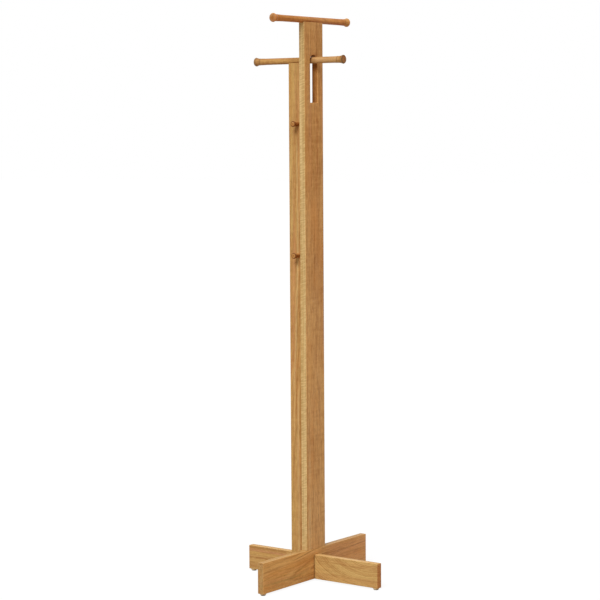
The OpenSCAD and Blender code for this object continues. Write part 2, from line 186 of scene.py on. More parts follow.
# Material nodes
class Net:
    """Small helper that builds a material's nodes and links."""

    def __init__(self, name):
        self.mat = bpy.data.materials.new(name)
        self.mat.use_nodes = True
        self.tree = self.mat.node_tree
        self.tree.nodes.clear()
        self.out = self.node("ShaderNodeOutputMaterial")

    def node(self, kind, **props):
        n = self.tree.nodes.new(kind)
        for key, value in props.items():
            setattr(n, key, value)
        return n

    def put(self, socket, value):
        if isinstance(value, bpy.types.NodeSocket):
            self.tree.links.new(value, socket)
        elif isinstance(value, (tuple, list)) and len(value) == 3 and socket.type == "RGBA":
            socket.default_value = (*value, 1)
        else:
            socket.default_value = value

    def math(self, op, a, b=0.0, c=0.0):
        n = self.node("ShaderNodeMath", operation=op)
        for socket, value in zip(n.inputs, (a, b, c)):
            self.put(socket, value)
        return n.outputs[0]

    def abs(self, a):
        return self.math("ABSOLUTE", a)

    def times(self, *values):
        total = values[0]
        for value in values[1:]:
            total = self.math("MULTIPLY", total, value)
        return total

    def vec(self, op, a, b=(0, 0, 0)):
        n = self.node("ShaderNodeVectorMath", operation=op)
        self.put(n.inputs[0], a)
        self.put(n.inputs[1], b)
        return n.outputs["Value" if op == "LENGTH" else "Vector"]

    def scaled(self, a, factors):
        return self.vec("MULTIPLY", a, factors)

    def xyz(self, a):
        n = self.node("ShaderNodeSeparateXYZ")
        self.put(n.inputs[0], a)
        return n.outputs

    def combine(self, x, y, z):
        n = self.node("ShaderNodeCombineXYZ")
        for socket, value in zip(n.inputs, (x, y, z)):
            self.put(socket, value)
        return n.outputs[0]

    def noise(self, place, detail, rough, colour=False, dimensions="3D"):
        n = self.node("ShaderNodeTexNoise", noise_dimensions=dimensions)
        self.put(n.inputs["W" if dimensions == "1D" else "Vector"], place)
        for socket, value in (("Scale", 1), ("Detail", detail), ("Roughness", rough)):
            n.inputs[socket].default_value = value
        return n.outputs["Color" if colour else "Fac"]

    def field(self, vector, noise, colour=False):
        """Noise given by its scales, detail and roughness."""
        scales, detail, rough = noise
        return self.noise(self.scaled(vector, scales), detail, rough, colour)

    def noise_1d(self, w, detail, rough):
        return self.noise(w, detail, rough, dimensions="1D")

    def span(self, value, low, high, to_low=0.0, to_high=1.0):
        n = self.node("ShaderNodeMapRange", interpolation_type="SMOOTHSTEP")
        for socket, v in zip(n.inputs, (value, low, high, to_low, to_high)):
            self.put(socket, v)
        return n.outputs[0]

    def path(self, value, points):
        """Smooth course through (value, height) points, both in millimetres."""
        total = points[0][1] * MM
        for (start, low), (stop, high) in zip(points, points[1:]):
            rise = self.span(value, start * MM, stop * MM, 0.0, (high - low) * MM)
            total = self.math("ADD", total, rise)
        return total

    def mix(self, factor, a, b, blend="MIX"):
        """Mix of two colours, by the node's sockets 6 and 7 in and 2 out."""
        n = self.node("ShaderNodeMix", data_type="RGBA", blend_type=blend)
        self.put(n.inputs[0], factor)
        self.put(n.inputs[6], a)
        self.put(n.inputs[7], b)
        return n.outputs[2]

    def above(self, base, tone, value, low, high, strength):
        """base, with tone mixed in where value is high."""
        return self.mix(self.span(value, low, high, 0.0, strength), base, tone)

    def below(self, base, tone, value, low, high, strength):
        """base, with tone mixed in where value is low."""
        return self.mix(self.span(value, low, high, strength, 0.0), base, tone)

    def bump(self, height, strength, distance):
        n = self.node("ShaderNodeBump")
        n.inputs["Strength"].default_value = strength
        n.inputs["Distance"].default_value = distance
        self.put(n.inputs["Height"], height)
        return n.outputs[0]

    def shade(self, **inputs):
        n = self.node("ShaderNodeBsdfPrincipled")
        for key, value in inputs.items():
            self.put(n.inputs[key.replace("_", " ")], value)
        self.tree.links.new(n.outputs[0], self.out.inputs["Surface"])
        return self.mat


def linear(*rgb):
    """Shader colour of an sRGB colour given as 0 to 255."""
    shares = [c / 255 for c in rgb]
    return tuple(c / 12.92 if c <= 0.04045 else ((c + 0.055) / 1.055) ** 2.4 for c in shares)


def toned(colour, *factors):
    """A colour with each channel multiplied."""
    return tuple(min(1.0, c * k) for c, k in zip(colour, factors * (3 // len(factors))))


AXES = "XYZ"

# A streak that runs along a board: where it lies across the board and how wide it
# is in millimetres, its colour and strength, and where along the board it fades out
Mark = namedtuple("Mark", "across half tone strength low high fade", defaults=(-5000, 5000, 60))

# The narrow edges of a board: colour, share of it, half the board's width, the
# strengths of the ray marks that cross the edge and of the veins along it, and the
# course of the palest wood along the edge
# Their paler tone is partly the wood's own colour and partly painted light: the brightness of the
# lit edges put into the colour.
Side = namedtuple("Side", "tone share half ladder veins course", defaults=(((0, -9),),))

# The rim or the core of a turned end: the radii in millimetres where its colour
# starts and where it is full, its colour and its strength
Rim = namedtuple("Rim", "start full tone strength")

# A dark line round a piece on both sides of its middle, in millimetres: how far out
# it lies, half its width, its strength, and how far across the piece it reaches
# On the base boards the line is painted shade in the corners of the lap joint.
Line = namedtuple("Line", "middle half strength reach", defaults=(1000,))

# The wood of a piece: x runs along the grain, y across the board and z through it,
# from the piece's middle, and the faces say how far the surface looks each way.
# along is x moved by the seed and bent is y less the grain's course. board is both
# with z, and warped is board with wavering fibres
Wood = namedtuple("Wood", "net x y z face_x face_y face_z along bent board warped")

# Noise in the wood: scales per metre for x, y and z, detail and roughness. Its values
# lie mostly in 0.3 to 0.7, and the spans in oak() take the high or the low ones
DRIFT = ((1.7, 9, 9), 2, 0.5)
RIPPLE = ((14, 70, 70), 2, 0.6)
HUE = ((1.3, 62, 62), 3, 0.6)
STREAK = ((2.2, 150, 150), 4, 0.6)
FINE_LINE = ((5, 560, 560), 2, 0.6)
PATCH = ((3.5, 18, 18), 3, 0.55)
FIGURE = ((105, 15, 15), 2, 0.5)
MOTTLE = ((36, 190, 190), 2, 0.6)
CLOUD = ((4, 5, 5), 1, 0.5)
RAY = ((95, 520, 26), 2, 0.5)
PORE = ((70, 1500, 1500), 1, 0.5)
SMUDGE = ((9, 26, 26), 3, 0.6)
RUB = ((22, 60, 60), 4, 0.65)
RUNG = ((250, 1, 40), 2, 0.5)
VEIN_X, VEIN_Z = 3, 170
WANDER_X = 3.1

DRIFT_BY = 26 * MM
RIPPLE_BY = 2.4 * MM
MOST_SWAY = 7
BANDS_PER_M = 85
RUNG_SLANT = 0.3
EDGE_CORE = 1 * MM
EDGE_FAR = 12 * MM

# Millimetres inside a board's side where the edge's tones start and are full, and the
# share of a mark's or a line's width that has full strength
EDGE_FROM, EDGE_FULL = 4, 2
SOLID = 0.3

# The slot's walls stand nearer to the middle than this, and their painted shade is darkest above a
# height, under the lower bar
WALL_NEAR, WALL_FAR = 24 * MM, 26 * MM
SHADE_FROM, SHADE_FULL = 720 * MM, 760 * MM


def wood_of(net, grain, thick, middle, seed, bend):
    """Wood of a piece, its fibres wavering slowly over the board and in small ripples."""
    coord = net.node("ShaderNodeTexCoord")
    place = net.xyz(net.vec("SUBTRACT", coord.outputs["Object"], middle))
    normal = net.xyz(coord.outputs["Normal"])
    g, t = AXES.index(grain), AXES.index(thick)
    axes = (g, 3 - g - t, t)
    x, y, z = [place[axis] for axis in axes]
    faces = [net.abs(normal[axis]) for axis in axes]
    along = net.math("ADD", x, seed)
    bent = net.math("SUBTRACT", y, net.path(x, bend))
    board = net.combine(along, bent, z)
    warped = board
    for noise, by in ((DRIFT, DRIFT_BY), (RIPPLE, RIPPLE_BY)):
        waver = net.vec("SUBTRACT", net.field(board, noise, colour=True), (0.5, 0.5, 0.5))
        warped = net.vec("ADD", warped, net.scaled(waver, (0, by, by)))
    return Wood(net, x, y, z, *faces, along, bent, board, warped)


def growth_of(wood, pith, slope, lean_to, growth):
    """Growth rings round a pith behind the board that leans against its length: wide
    bands, thin bands, and the late and the early wood of each ring."""
    net = wood.net
    parts = net.xyz(wood.warped)
    across = net.math("ADD", parts[1], -pith[1] * MM)
    lean = net.math("MINIMUM", wood.x, lean_to)
    depth = net.math("MULTIPLY_ADD", lean, slope, net.math("ADD", parts[2], pith[0] * MM))
    radius = net.vec("LENGTH", net.combine(0.0, across, depth))
    bands = net.noise_1d(net.times(radius, BANDS_PER_M), 3, 0.55)
    thin_bands = net.noise_1d(net.times(radius, growth), 2, 0.6)
    turns = net.math("MULTIPLY_ADD", radius, 1.1 * growth, net.times(bands, 3))
    phase = net.math("FRACT", turns)
    late = net.times(net.span(phase, 0.25, 0.9), net.span(phase, 0.9, 1.0, 1.0, 0.0))
    early = net.span(phase, 0.12, 0.42, 1.0, 0.0)
    return bands, thin_bands, late, early


def mark_mask(wood, mark, streak):
    """Where a mark shows: a wandering stripe that fades at its sides and its ends."""
    net = wood.net
    wander = net.noise_1d(net.math("MULTIPLY_ADD", wood.along, WANDER_X, mark.across), 2, 0.5)
    sway = min(MOST_SWAY, mark.half) * MM
    off = net.math("MULTIPLY_ADD", wander, sway, -mark.across * MM - sway / 2)
    off = net.abs(net.math("ADD", off, wood.bent))
    low, high, fade = mark.low, mark.high, mark.fade
    return net.times(
        net.span(off, mark.half * MM * SOLID, mark.half * MM, mark.strength, 0.0),
        net.span(wood.x, (low - fade) * MM, (low + fade) * MM),
        net.span(wood.x, (high - fade) * MM, (high + fade) * MM, 1.0, 0.0),
        net.span(streak, 0.3, 0.5, 0.55, 1.0),
    )


def walls_shaded(wood, colour, inner):
    """Painted shade on the walls of an opening, darkest at the top under the bar."""
    net = wood.net
    wall = net.times(
        net.span(wood.face_z, 0.1, 0.6, 1.0, 0.0),
        net.span(net.abs(wood.y), WALL_NEAR, WALL_FAR, 1.0, 0.0),
    )
    # the deeper painted shade at the top of the wall, under the bar
    top = toned(inner, 0.77, 0.62, 0.38)
    wall_shade = net.mix(net.span(wood.x, SHADE_FROM, SHADE_FULL), inner, top)
    return net.mix(wall, colour, net.mix(1.0, colour, wall_shade, "MULTIPLY"))


def edges_toned(wood, colour, side):
    """Narrow edges, palest along a course, with veins along them and rungs across.
    Their paler tone is partly the wood's own and partly painted light.
    """
    net = wood.net
    slant = net.combine(net.math("MULTIPLY_ADD", wood.z, RUNG_SLANT, wood.along), 0.0, wood.z)
    rung = net.field(slant, RUNG)
    vein = net.combine(net.times(wood.along, VEIN_X), 0.0, net.times(wood.z, VEIN_Z))
    vein = net.noise(vein, 1, 0.5)
    off = net.abs(net.math("SUBTRACT", wood.z, net.path(wood.x, side.course)))
    base = linear(*side.tone)
    core, far = toned(base, 1.08, 1.1, 1.16), toned(base, 0.81, 0.765, 0.64)
    tone = net.mix(0.3, net.mix(net.span(off, EDGE_CORE, EDGE_FAR), core, far), colour)
    tone = net.above(tone, toned(base, 0.8, 0.76, 0.68), vein, 0.5, 0.62, side.veins)
    tone = net.below(tone, toned(base, 1.12, 1.16, 1.22), vein, 0.38, 0.5, side.veins)
    tone = net.above(tone, toned(base, 1.25, 1.27, 1.34), rung, 0.5, 0.62, side.ladder)
    tone = net.below(tone, toned(base, 0.75, 0.72, 0.62), rung, 0.38, 0.48, side.ladder)
    reach = net.abs(wood.y)
    on_edge = net.times(
        net.span(wood.face_y, 0.6, 0.95),
        net.span(reach, (side.half - EDGE_FROM) * MM, (side.half - EDGE_FULL) * MM),
    )
    return net.mix(net.times(on_edge, side.share), colour, tone)


def line_mask(wood, line):
    """Where a dark line shows, on both sides of the piece's middle."""
    net = wood.net
    off = net.abs(net.math("SUBTRACT", net.abs(wood.x), line.middle * MM))
    return net.times(
        net.span(off, SOLID * line.half * MM, line.half * MM, line.strength, 0.0),
        net.span(wood.y, (line.reach - 1) * MM, (line.reach + 1) * MM, 1.0, 0.0),
    )


def rub_mask(wood, wear):
    """Where the eased edges are rubbed, here and there."""
    net = wood.net
    flat = net.math("MAXIMUM", wood.face_x, net.math("MAXIMUM", wood.face_y, wood.face_z))
    return net.times(
        net.span(flat, 0.8, 0.985, 1.0, 0.0),
        net.span(net.field(wood.board, RUB), 0.42, 0.62, 0.15, wear),
    )


def oak(
    name, grain, thick, middle, tones, end_tint=(0.85, 0.78, 0.72),
    pith=(70, 0), slope=0.03, lean_to=9.0, growth=330, seed=0.0, bend=((0, 0),),
    streaks=0.5, blush=0.4, fine=0.35, rings=0.4, flecks=0.3, figure=0.2, mottle=0.35,
    clouds=0.2, marks=(), side=None, inner=None, rims=(), line_at=None, wear=0.0,
):
    """Oiled oak.

    grain and thick name the axes of the length and of the growth direction, middle is
    the piece's middle, and tones are pale, gold, blush and dark. end_tint multiplies
    the end grain, and inner multiplies the walls of an opening as painted shade. The
    pith lies so many millimetres behind and across, and leans by slope up to lean_to
    metres. growth is the number of thin bands to a metre, and bend the grain's course
    over the length. streaks to clouds and wear are strengths: figure is the ripple
    across the grain.
    """
    pale, gold, pink, dark = [linear(*tone) for tone in tones]
    net = Net(name)
    wood = wood_of(net, grain, thick, middle, seed, bend)
    bands, thin_bands, late, early = growth_of(wood, pith, slope, lean_to, growth)
    hue = net.field(wood.warped, HUE)
    streak = net.field(wood.warped, STREAK)
    line = net.field(wood.warped, FINE_LINE)

    colour = net.mix(net.span(bands, 0.38, 0.6), pale, gold)
    colour = net.above(colour, pink, hue, 0.5, 0.66, blush)
    colour = net.below(colour, pale, hue, 0.34, 0.46, blush)
    colour = net.above(colour, dark, thin_bands, 0.5, 0.72, min(1.0, 0.2 + rings))
    for mark in marks:
        colour = net.mix(mark_mask(wood, mark, streak), colour, linear(*mark.tone))
    colour = net.above(colour, dark, streak, 0.5, 0.7, streaks)
    colour = net.below(colour, toned(pale, 1.06), streak, 0.3, 0.48, streaks * 0.6)
    colour = net.above(colour, toned(dark, 0.85), line, 0.52, 0.7, fine)
    colour = net.mix(net.times(late, 0.5 * rings), colour, dark)
    for source, noise, strength in (
        (wood.board, FIGURE, figure), (wood.warped, MOTTLE, mottle), (wood.board, CLOUD, clouds)
    ):
        shade = net.field(source, noise)
        colour = net.above(colour, toned(dark, 1.1), shade, 0.5, 0.68, strength)
        colour = net.below(colour, toned(pale, 1.15), shade, 0.32, 0.5, strength)
    patches = net.field(wood.board, PATCH)
    colour = net.above(colour, toned(gold, 1.08, 0.92, 0.78), patches, 0.52, 0.7, 0.4)

    # Rays are thin sheets along the growth direction
    ray = net.span(net.field(wood.warped, RAY), 0.58, 0.7)
    colour = net.mix(net.times(ray, flecks), colour, toned(pale, 1.2))

    # Pores are short dark dashes in the early wood
    pore = net.span(net.field(wood.board, PORE), 0.57, 0.68)
    pore = net.times(pore, net.math("MULTIPLY_ADD", early, 0.8, 0.2))
    colour = net.mix(net.times(pore, 0.55), colour, toned(dark, 0.45))

    # painted shade on the slot's walls
    if inner:
        colour = walls_shaded(wood, colour, inner)
    if side:
        colour = edges_toned(wood, colour, side)

    # End grain drinks more oil and is darker
    end = net.span(wood.face_x, 0.75, 0.97)
    colour = net.mix(end, colour, net.mix(1.0, colour, end_tint, "MULTIPLY"))
    out = net.vec("LENGTH", net.combine(0.0, wood.y, wood.z))
    for rim in rims:
        on_rim = net.span(out, rim.start * MM, rim.full * MM, 0.0, rim.strength)
        on_rim = net.times(on_rim, net.span(wood.face_x, 0.15, 0.5))
        colour = net.mix(on_rim, colour, linear(*rim.tone))
    # dark lines: at the bars' grooves, and painted shade at the base boards' lap joint
    if line_at:
        colour = net.mix(line_mask(wood, line_at), colour, toned(dark, 0.6))

    rough = net.span(net.field(wood.board, SMUDGE), 0.3, 0.7, 0.42, 0.56)
    if wear:
        rubbed = rub_mask(wood, wear)
        colour = net.mix(rubbed, colour, toned(pale, 1.15, 1.12, 1.05))
        rough = net.math("MULTIPLY_ADD", rubbed, -0.12, rough)
    rough = net.math("MULTIPLY_ADD", pore, 0.15, rough)
    rough = net.math("MULTIPLY_ADD", end, 0.12, rough)
    height = net.math("SUBTRACT", net.times(late, 0.35), pore)
    return net.shade(
        Base_Color=colour, Roughness=rough, Normal=net.bump(height, 0.35, 0.25 * MM),
        Specular_IOR_Level=0.12,
    )


def speckled(name, colour, other, rough, scale, bump, strength=0.3, **more):
    """Moulded, felted or plated surface: fine mottle, slow clouding and scuffs."""
    colour, other = linear(*colour), linear(*other)
    net = Net(name)
    coord = net.node("ShaderNodeTexCoord").outputs["Object"]
    mottle = net.noise(net.scaled(coord, (scale,) * 3), 4, 0.6)
    cloud = net.noise(net.scaled(coord, (scale / 14,) * 3), 3, 0.5)
    scuff = net.noise(net.scaled(coord, (scale * 0.4, scale * 0.4, scale * 2.5)), 2, 0.7)
    tone = net.mix(net.span(mottle, 0.3, 0.7), colour, other)
    tone = net.above(tone, toned(other, 0.85), cloud, 0.4, 0.75, 0.5)
    tone = net.above(tone, toned(colour, 1.15), scuff, 0.62, 0.72, 0.4)
    roughness = net.span(mottle, 0.3, 0.7, rough - 0.08, rough + 0.06)
    roughness = net.math("MULTIPLY_ADD", net.span(scuff, 0.6, 0.72), 0.1, roughness)
    return net.shade(
        Base_Color=tone, Roughness=roughness, Normal=net.bump(mottle, strength, bump), **more
    )


# Mesh pieces
def linked(name, data):
    """A new object in the scene."""
    obj = bpy.data.objects.new(name, data)
    bpy.context.scene.collection.objects.link(obj)
    return obj


def place(name, bm, mat, slot_name, *nodes):
    """Makes bm the piece that replaces the CAD nodes."""
    me = bpy.data.meshes.new(name)
    bmesh.ops.recalc_face_normals(bm, faces=bm.faces)
    bm.to_mesh(me)
    bm.free()
    me.polygons.foreach_set("use_smooth", [True] * len(me.polygons))
    me.set_sharp_from_angle(angle=SHARP_ANGLE)
    me.materials.append(mat)
    obj = linked(name, me)
    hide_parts(*nodes)
    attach(obj, "root")


def ring_faces(bm, rings, ends=True, loop=False):
    """Joins rings of vertices one after another. ends closes both ends with a face
    each, and loop joins the last ring to the first."""
    pairs = list(zip(rings, rings[1:]))
    if loop:
        pairs.append((rings[-1], rings[0]))
    for a, b in pairs:
        for i in range(len(a)):
            j = (i + 1) % len(a)
            bm.faces.new((a[i], a[j], b[j], b[i]))
    if ends and not loop:
        bm.faces.new(list(reversed(rings[0])))
        bm.faces.new(rings[-1])
    bmesh.ops.recalc_face_normals(bm, faces=bm.faces)
    return bm


def arc(steps, start, sweep):
    """Angles in radians from start over sweep degrees, both ends included."""
    return [math.radians(start + sweep * i / steps) for i in range(steps + 1)]


def eased_section(w, h, r, inset, steps=6):
    """Points of a rectangle with rounded corners, shrunk by inset."""
    points = []
    for cx, cy, start in ((1, 1, 0), (-1, 1, 90), (-1, -1, 180), (1, -1, 270)):
        for a in arc(steps, start, 90):
            points.append((
                cx * (w / 2 - r) + (r - inset) * math.cos(a),
                cy * (h / 2 - r) + (r - inset) * math.sin(a),
            ))
    return points


def board_bm(length, w, h, matrix, end_steps=4):
    """Board along local Z with eased long edges and slightly rounded end edges."""
    bm = bmesh.new()
    low = [
        (-length / 2 + END_R * (1 - math.cos(a)), END_R * (1 - math.sin(a)))
        for a in arc(end_steps, 0, 90)
    ]
    rings = []
    for z, inset in low + [(-z, inset) for z, inset in reversed(low)]:
        section = eased_section(w, h, EDGE_R, inset)
        rings.append([bm.verts.new(matrix @ Vector((x, y, z))) for x, y in section])
    return ring_faces(bm, rings)


def circle_verts(bm, r, z, matrix, steps, flute=0.0, flutes=0):
    """Ring of vertices with so many flutes, each as deep as flute."""
    ring = []
    for i in range(steps):
        a = 2 * math.pi * i / steps
        here = r - flute * (0.5 - 0.5 * math.cos(flutes * a))
        ring.append(bm.verts.new(matrix @ Vector((here * math.cos(a), here * math.sin(a), z))))
    return ring


def lathe_bm(profile, matrix=Matrix.Identity(4), steps=96, flute=0.0, flutes=0):
    """Turned solid about local Z from [(radius, z), ...] that starts and ends on the axis."""
    bm = bmesh.new()
    rings = [circle_verts(bm, r, z, matrix, steps, flute, flutes) for r, z in profile[1:-1]]
    ring_faces(bm, rings, ends=False)
    for ring, (_, z) in ((rings[0], profile[0]), (rings[-1], profile[-1])):
        tip = bm.verts.new(matrix @ Vector((0, 0, z)))
        for i in range(steps):
            bm.faces.new((ring[i], ring[(i + 1) % steps], tip))
    bmesh.ops.recalc_face_normals(bm, faces=bm.faces)
    return bm


def hoop_bm(profile, matrix, steps=64):
    """Turned ring about local Z from a closed outline [(radius, z), ...]."""
    bm = bmesh.new()
    rings = [circle_verts(bm, r, z, matrix, steps) for r, z in profile]
    return ring_faces(bm, rings, loop=True)


def joined(parts):
    """All the meshes in one."""
    whole = bmesh.new()
    for bm in parts:
        me = bpy.data.meshes.new("part")
        bm.to_mesh(me)
        bm.free()
        whole.from_mesh(me)
        bpy.data.meshes.remove(me)
    return whole


def as_object(bm, name="cutter"):
    me = bpy.data.meshes.new(name)
    bm.to_mesh(me)
    bm.free()
    return linked(name, me)


def cut(bm, cutters):
    """bm less every cutter, as a new bmesh."""
    body = as_object(bm, "body")
    tools = [as_object(c) for c in cutters]
    for tool in tools:
        mod = body.modifiers.new("cut", "BOOLEAN")
        mod.operation = "DIFFERENCE"
        mod.solver = "EXACT"
        mod.object = tool
    graph = bpy.context.evaluated_depsgraph_get()
    result = bmesh.new()
    result.from_object(body, graph)
    for obj in [body, *tools]:
        mesh = obj.data
        bpy.data.objects.remove(obj)
        bpy.data.meshes.remove(mesh)
    bmesh.ops.remove_doubles(result, verts=result.verts, dist=WELD)
    return result


def rod_bm(r, low, high, matrix, steps=48):
    return lathe_bm([(0, low), (r, low), (r, high), (0, high)], matrix, steps)


def bar_seat(matrix):
    """Cutter for the round seat that a bar lies in."""
    return rod_bm(BAR_R + FIT, -SEAT_REACH, SEAT_REACH, matrix, steps=96)


def box_bm(low, high):
    bm = bmesh.new()
    bmesh.ops.create_cube(bm, size=1)
    for v in bm.verts:
        v.co = Vector([(h + l) / 2 + c * (h - l) for l, h, c in zip(low, high, v.co)])
    return bm


def slot_cutter():
    """The slot, round above and square below, with its eased edges, through the tall plank."""
    bm = bmesh.new()
    half = BOARD_T / 2
    round_z = SLOT_HIGH_Z - SLOT_W / 2
    corner_x = SLOT_W / 2 - SLOT_CORNER_R
    corner_z = SLOT_LOW_Z + SLOT_CORNER_R
    turns = (
        (0, round_z, SLOT_W / 2, arc(48, 0, 180)),
        (-corner_x, corner_z, SLOT_CORNER_R, arc(8, 180, 90)),
        (corner_x, corner_z, SLOT_CORNER_R, arc(8, 270, 90)),
    )
    depths = [(-half - PAST, SLOT_EDGE_R + SLOT_CUTTER_FLARE)]
    for a in arc(8, 0, 90):
        depths.append((-half + SLOT_EDGE_R * (1 - math.cos(a)), SLOT_EDGE_R * (1 - math.sin(a))))
    depths += [(-y, grow) for y, grow in reversed(depths)]
    rings = []
    for y, grow in depths:
        rings.append([
            bm.verts.new((x + (r + grow) * math.cos(a), y, z + (r + grow) * math.sin(a)))
            for x, z, r, angles in turns
            for a in angles
        ])
    return ring_faces(bm, rings)


def turned_end(r, edge, dome, steps=12):
    """[(radius, distance from the end)] from the end's middle over its dome and rounded edge."""
    points = [((r - edge) * i / steps, dome * (i / steps) ** 2) for i in range(steps + 1)]
    for a in arc(steps, 0, 90)[1:]:
        points.append((r - edge + edge * math.sin(a), dome + edge * (1 - math.cos(a))))
    return points


def bar_profile(length, steps=72):
    wide = KNOB_EDGE + KNOB_DOME
    half = turned_end(KNOB_R, KNOB_EDGE, KNOB_DOME)
    for i in range(1, steps + 1):
        s = NECK_LEN * i / steps
        r = BAR_R + (NECK_R - BAR_R) * max(0.0, 1 - s / NECK_LEN)
        r += (KNOB_R - NECK_R) * max(0.0, 1 - s / FLARE_LEN) ** 2
        off = abs(wide + s - GROOVE_AT) / GROOVE_HALF
        if off < 1:
            r -= GROOVE_DEPTH * math.cos(off * math.pi / 2) ** 1.5
        half.append((r, wide + s))
    return [(r, z - length / 2) for r, z in half] + [(r, length / 2 - z) for r, z in reversed(half)]


def peg_profile(steps=20):
    head = turned_end(PEG_HEAD_R, PEG_EDGE, PEG_DOME)
    for i in range(1, steps + 1):
        r = PEG_R + (PEG_HEAD_R - PEG_R) * (1 - i / steps) ** 2
        head.append((r, PEG_DOME + PEG_EDGE + PEG_FLARE * i / steps))
    return [(r, PEG_OUT - s) for r, s in head] + [
        (PEG_R, 0), (TENON_R, 0), (TENON_R, -TENON_LEN + TENON_CHAMFER),
        (TENON_R - TENON_CHAMFER, -TENON_LEN), (0, -TENON_LEN),
    ]


# One thread ridge: shares of the pitch up from its start, and of its depth inwards
RIDGE = ((0.1, 1), (0.45, 0), (0.6, 0))


def threads(r, depth, low, high, pitch):
    """[(radius, z)] of a shaft with thread ridges between two heights."""
    points = []
    for i in range(int((high - low) / pitch)):
        z = low + i * pitch
        points += [(r - depth * sunk, z + share * pitch) for share, sunk in RIDGE]
    return points + [(r - depth, high)]


# Where the fasteners stand
TALL_BOLTS = [(side * (TALL_W / 2 - BOLT_INSET), 0) for side in (-1, 1)]
SHORT_BOLTS = [(0, SHORT_MID_Y + side * (SHORT_W / 2 - BOLT_INSET)) for side in (-1, 1)]
UPPER_DOWELS = [(side * (TALL_W / 2 - BAR_DOWEL_INSET), 0) for side in (-1, 1)]
LOWER_DOWELS = [(0, SHORT_MID_Y + side * (SHORT_W / 2 - BAR_DOWEL_INSET)) for side in (-1, 1)]
RIB_LOW = LOW_HIGH[2] + RIB_ABOVE_BASE
RIB_HIGH = SLOT_LOW_Z - RIB_BELOW_SLOT
RIB_ZS = [RIB_LOW + (RIB_HIGH - RIB_LOW) * i / (RIB_COUNT - 1) for i in range(RIB_COUNT)]
PEG_ZS = [sum(corner[2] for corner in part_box(peg)) / 2 for peg in ("upper_peg", "lower_peg")]
HIGH_FEET = [(HIGH_LOW[0] + FOOT_INSET, 0), (HIGH_HIGH[0] - FOOT_INSET, 0)]
LOW_FEET = [(0, LOW_LOW[1] + FOOT_INSET), (0, LOW_HIGH[1] - FOOT_INSET)]


def holes(places, r, low, high, steps=48):
    """Cutters for upright round holes."""
    return [rod_bm(r, low, high, at(x, y, 0), steps) for x, y in places]


def insert_holes(places, z):
    deep = BOLT_LEN - WASHER_T - BOLT_GRIP + END_GAP
    wide = holes(places, INSERT_R + FIT, z - PAST, z + INSERT_LEN)
    return wide + holes(places, BOLT_R + FIT, z + PAST, z + deep)


def dowel_holes_down(places, bar_z):
    depth = DOWEL_LEN - DOWEL_IN + BAR_R + END_GAP
    return holes(places, DOWEL_R + FIT, bar_z - depth, bar_z)


def bar_dowel_holes(places, bar_z):
    top = bar_z - BAR_R + DOWEL_IN + END_GAP
    return holes(places, DOWEL_R + FIT, bar_z - 2 * BAR_R, top)


def bolt_holes(places, top):
    seat = top - BOLT_GRIP
    wide = holes(places, WASHER_R + WASHER_ROOM, -PAST, seat, steps=64)
    return wide + holes(places, BOLT_R + FIT, seat - PAST, top + PAST)


def rib_holes(low, high):
    return [rod_bm(DOWEL_R + FIT, low, high, at(0, 0, z, ALONG_Y)) for z in RIB_ZS]


def foot_screw_holes(places):
    top = FOOT_SCREW_TOP + END_GAP
    return holes(places, FOOT_SCREW_R + FIT, BASE_Z - PAST, top, steps=32)


# Heights that the marks on upright and level boards are measured from
PLANKS_Z = 800 * MM
HIGH_BOARD_Z = 50 * MM
LOW_BOARD_Z = 40 * MM

# Oak tones that recur, in sRGB
OLIVE = (178, 148, 84)
AMBER = (206, 134, 62)
ROSE = (202, 138, 92)
UMBER = (140, 86, 40)

tall_oak = oak(
    "oak_tall_plank", "Z", "Y", (0, 0, PLANKS_Z),
    ((221, 170, 105), (207, 150, 85), (211, 143, 89), (163, 104, 50)),
    seed=1.3, pith=(55, 12), slope=0.02, streaks=0.8, blush=0.55, flecks=0.35, fine=0.6, wear=0.2,
    side=Side(
        (201, 173, 118), 0.92, 45.5, 0.55, 0.6,
        ((-385, -1), (-30, -9.5), (150, -10.5), (575, 4)),
    ),
    # inner is painted shade on the slot's walls
    inner=(0.74, 0.62, 0.5),
    marks=(
        # painted light: the plank grows paler towards its foot, as if lit from the floor
        Mark(0, 120, (232, 184, 126), 0.5, -900, 250, 250),
        Mark(16, 10, (176, 112, 56), 0.45, 150, 600, 60),
        Mark(-30, 11, (232, 184, 120), 0.75, -330, 70),
        Mark(-32, 11, (237, 201, 146), 0.85, -900, -330),
        Mark(-44, 5, UMBER, 0.35, -900, -250),
        Mark(-40, 8, (178, 138, 82), 0.55, 190, 640),
        Mark(-25, 8, (224, 172, 108), 0.55, 70, 420, 80),
        Mark(37, 10, (236, 190, 120), 0.7, -760, -120),
        Mark(35, 5, (222, 172, 104), 0.6, 200, 560),
        Mark(19, 7, (180, 118, 60), 0.65, 230, 440, 30),
        Mark(21, 3.5, (232, 182, 114), 0.65, -80, 160, 30),
        Mark(31, 2.5, AMBER, 0.7, -120, 180),
        Mark(43, 3, UMBER, 0.4, -80, 500),
        Mark(-2, 2.5, (232, 182, 114), 0.6, -100, 30, 20),
        Mark(6, 6, (230, 176, 108), 0.45, -330, -200, 30),
        Mark(-4, 5, (182, 122, 64), 0.4, 60, 420),
        # partly painted shadow: its upper end is the lower bar's shadow on the front, lower down it
        # darkens the front beside the slot
        Mark(33, 15, (184, 117, 56), 0.4, 620, 765, 20),
        # painted shade: the top of the left arris darkened under the upper bar
        Mark(-45, 6, (158, 98, 48), 0.6, 780, 1000, 12),
        # more painted light from the floor at the plank's lowest part
        Mark(10, 60, (236, 190, 132), 0.3, -900, -480, 60),
    ),
)
